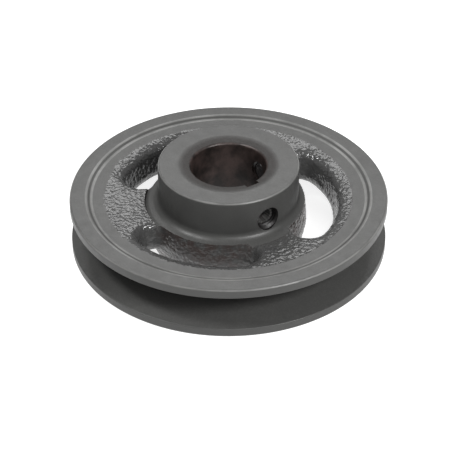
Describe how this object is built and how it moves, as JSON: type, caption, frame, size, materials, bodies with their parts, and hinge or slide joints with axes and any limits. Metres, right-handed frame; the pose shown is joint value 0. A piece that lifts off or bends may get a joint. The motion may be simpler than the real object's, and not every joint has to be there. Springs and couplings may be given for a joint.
{
  "type": "v belt pulley",
  "caption": "Single-groove cast-iron V belt pulley with broad arms, kidney-shaped openings, a keyed bore and set screws in its hub.",
  "frame": {"origin": "on the bore's axis, in the plane of the rear face", "axes": "+Z along the bore towards the hub's nose, +X through the keyway and the set screw over it, +Y through the other set screw"},
  "size_m": [0.108, 0.108, 0.031],
  "materials": {
    "painted_iron": "dark grey satin enamel over machined and sand-cast iron",
    "black_oxide_steel": "black oxide, lightly oiled"
  },
  "bodies": {
    "pulley": {"pulley_casting": "painted_iron"},
    "keyway_screw": {"set_screw_keyway": "black_oxide_steel"},
    "side_screw": {"set_screw_side": "black_oxide_steel"}
  },
  "joints": [
    {"name": "keyway_screw_travel", "type": "slide", "parent": "pulley", "child": "keyway_screw", "axis": [1, 0, 0], "range_m": [0, 0.00564]},
    {"name": "side_screw_travel", "type": "slide", "parent": "pulley", "child": "side_screw", "axis": [0, 1, 0], "range_m": [0, 0.00847]}
  ]
}
